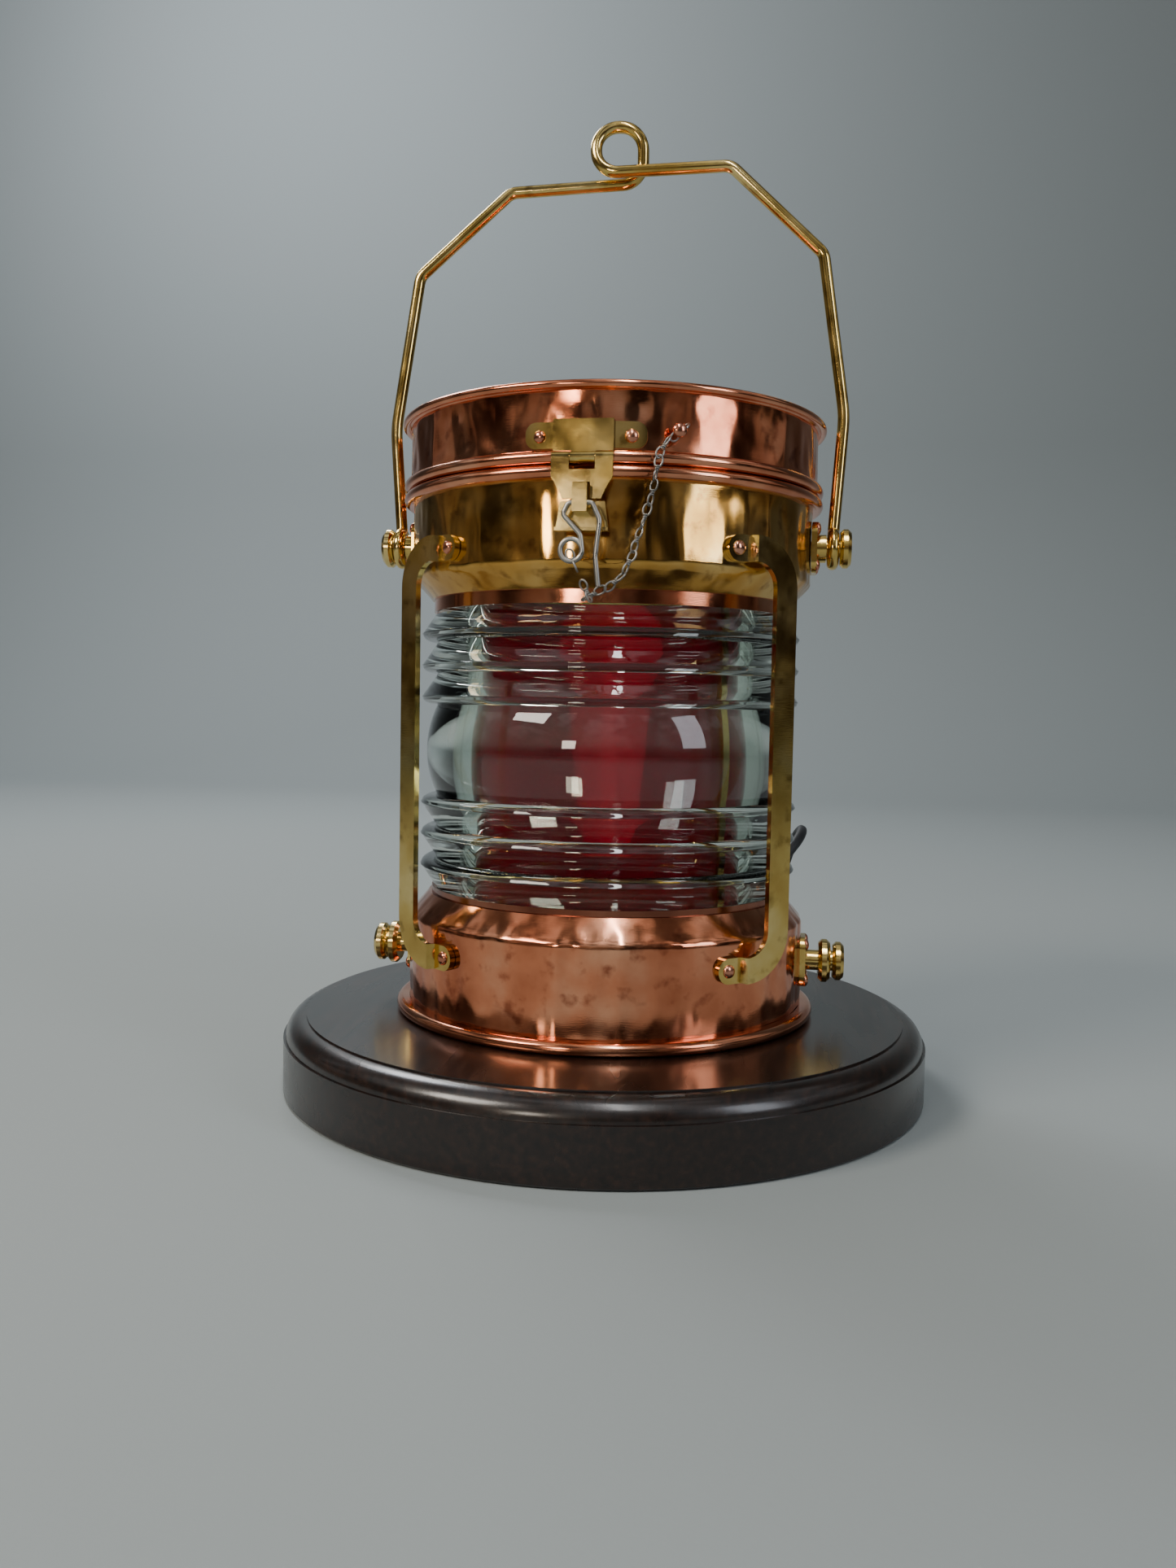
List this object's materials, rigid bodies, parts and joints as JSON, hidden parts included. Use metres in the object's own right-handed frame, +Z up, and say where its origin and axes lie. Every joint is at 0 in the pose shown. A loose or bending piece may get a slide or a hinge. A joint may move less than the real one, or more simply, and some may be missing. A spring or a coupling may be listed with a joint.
{
  "type": "ship lantern",
  "caption": "Copper and brass ship's anchor lantern with a ribbed glass lens and red filter, riveted guards, bail handle and chained hasp pin, electrified on a round wooden plinth.",
  "frame": {"origin": "on the lantern's axis at the floor, under the middle of the plinth", "axes": "+Z up, -Y the front where the hasp is, the bail swings about X"},
  "size_m": [0.35, 0.4556, 0.5211],
  "materials": {
    "plinth_wood": "satin",
    "copper_sheet": "polished",
    "bronze_sheet": "satin",
    "brass_polished": "polished",
    "dark_copper": "satin",
    "rivet_copper": "satin",
    "lens_glass": "clear",
    "ruby_glass": "satin",
    "bulb_glass": "clear",
    "steel_wire": "satin",
    "steel_screw": "satin",
    "seal_rubber": "matte",
    "cord_rubber": "satin",
    "holder_plastic": "gloss",
    "plug_plastic": "satin"
  },
  "bodies": {
    "root": {"plinth": "plinth_wood", "plinth_screws": "steel_screw", "base_plate": "bronze_sheet", "base_rim_bead": "copper_sheet", "base_drum": "copper_sheet", "lower_neck_band": "dark_copper", "upper_neck_band": "copper_sheet", "upper_seat_ring": "bronze_sheet", "lens_gaskets": "seal_rubber", "lens": "lens_glass", "upper_body": "bronze_sheet", "upper_body_bead": "copper_sheet", "red_filter": "ruby_glass", "filter_base_ring": "brass_polished", "filter_top_ring": "brass_polished", "filter_seam_strip": "brass_polished", "lamp_column": "brass_polished", "lamp_holder": "holder_plastic", "bulb_cap": "brass_polished", "bulb_glass": "bulb_glass", "bulb_stem": "bulb_glass", "bulb_filament": "steel_wire", "inner_lead": "cord_rubber", "guard_front_right": "brass_polished", "guard_rear_right": "brass_polished", "guard_rear_left": "brass_polished", "guard_front_left": "brass_polished", "body_rivets": "rivet_copper", "stud_plates": "brass_polished", "stud_nuts": "brass_polished", "trunnion_pin_right": "brass_polished", "trunnion_pin_left": "brass_polished", "lashing_stud_right": "brass_polished", "lashing_stud_left": "brass_polished", "hasp_staple": "brass_polished", "hinge_body_leaf": "brass_polished", "cord_gland": "brass_polished", "strain_relief_boot": "cord_rubber", "cord_run": "cord_rubber", "cord_coil": "cord_rubber", "plug_body": "plug_plastic", "plug_blades": "brass_polished"},
    "lid": {"lid_drum": "copper_sheet", "lid_bead": "copper_sheet", "lid_rim": "copper_sheet", "lid_deck": "copper_sheet", "chimney": "copper_sheet", "chimney_cap": "copper_sheet", "cap_legs": "brass_polished", "hasp_bracket": "brass_polished", "hasp_hinge_pin": "brass_polished", "lid_rivets": "rivet_copper", "chain_rivet": "rivet_copper", "hinge_lid_leaf": "brass_polished", "hinge_pin": "brass_polished"},
    "flap": {"hasp_flap": "brass_polished"},
    "chain": {"chain": "steel_wire"},
    "hitch_pin": {"hitch_pin": "steel_wire", "pin_chain_link": "steel_wire"},
    "bail": {"bail": "brass_polished"}
  },
  "joints": [
    {"name": "lid_hinge", "type": "hinge", "parent": "root", "child": "lid", "pos_m": [0, 0.1184, 0.31805], "axis": [-1, 0, 0], "range_deg": [0, 32]},
    {"name": "bail_swing", "type": "hinge", "parent": "root", "child": "bail", "pos_m": [0, 0, 0.293], "axis": [1, 0, 0], "range_deg": [-130, 130]},
    {"name": "hasp_flap_hinge", "type": "hinge", "parent": "lid", "child": "flap", "pos_m": [0, -0.1176, 0.3196], "axis": [-1, 0, 0], "range_deg": [0, 120]},
    {"name": "hitch_pin_swing", "type": "hinge", "parent": "root", "child": "hitch_pin", "pos_m": [0, -0.1239, 0.2982], "axis": [-1, 0, 0], "range_deg": [0, 50]},
    {"name": "chain_swing", "type": "hinge", "parent": "lid", "child": "chain", "pos_m": [0.04196, -0.10385, 0.3335], "axis": [0.3746, -0.9272, 0], "range_deg": [0, 25]}
  ]
}
